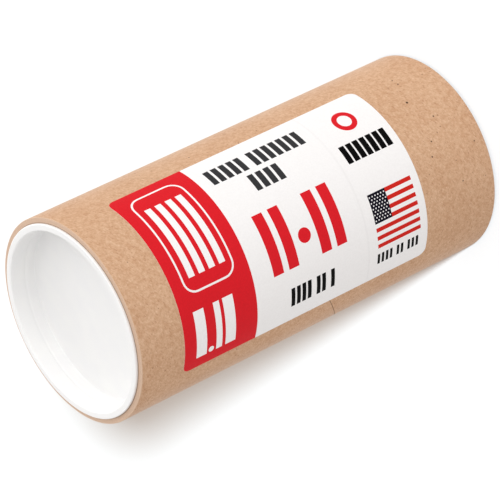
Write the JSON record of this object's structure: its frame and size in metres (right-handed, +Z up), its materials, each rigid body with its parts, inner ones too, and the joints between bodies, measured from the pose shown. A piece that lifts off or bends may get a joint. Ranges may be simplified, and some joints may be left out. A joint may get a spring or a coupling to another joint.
{
  "type": "cardboard mailing tube",
  "caption": "Spiral-wound kraft cardboard mailing tube with a white plastic plug cap in each end and a printed paper label.",
  "frame": {"origin": "middle of the bottom cap's flange face, on which the tube stands", "axes": "+Z up along the tube towards the top cap, -Y towards the middle of the label"},
  "size_m": [0.0844, 0.0845, 0.1822],
  "materials": {
    "kraft_board": "uncoated kraft paper, matt",
    "white_polyethylene": "moulded, satin",
    "label_paper": "coated, printed, semi-gloss"
  },
  "bodies": {
    "bottom_cap": {"bottom_cap": "white_polyethylene"},
    "tube": {"kraft_tube": "kraft_board", "paper_label": "label_paper"},
    "top_cap": {"top_cap": "white_polyethylene"}
  },
  "joints": [
    {"name": "tube_lift", "type": "slide", "parent": "bottom_cap", "child": "tube", "axis": [0, 0, 1], "range_m": [0, 0.04]},
    {"name": "top_cap_pull", "type": "slide", "parent": "tube", "child": "top_cap", "axis": [0, 0, 1], "range_m": [0, 0.04]}
  ]
}
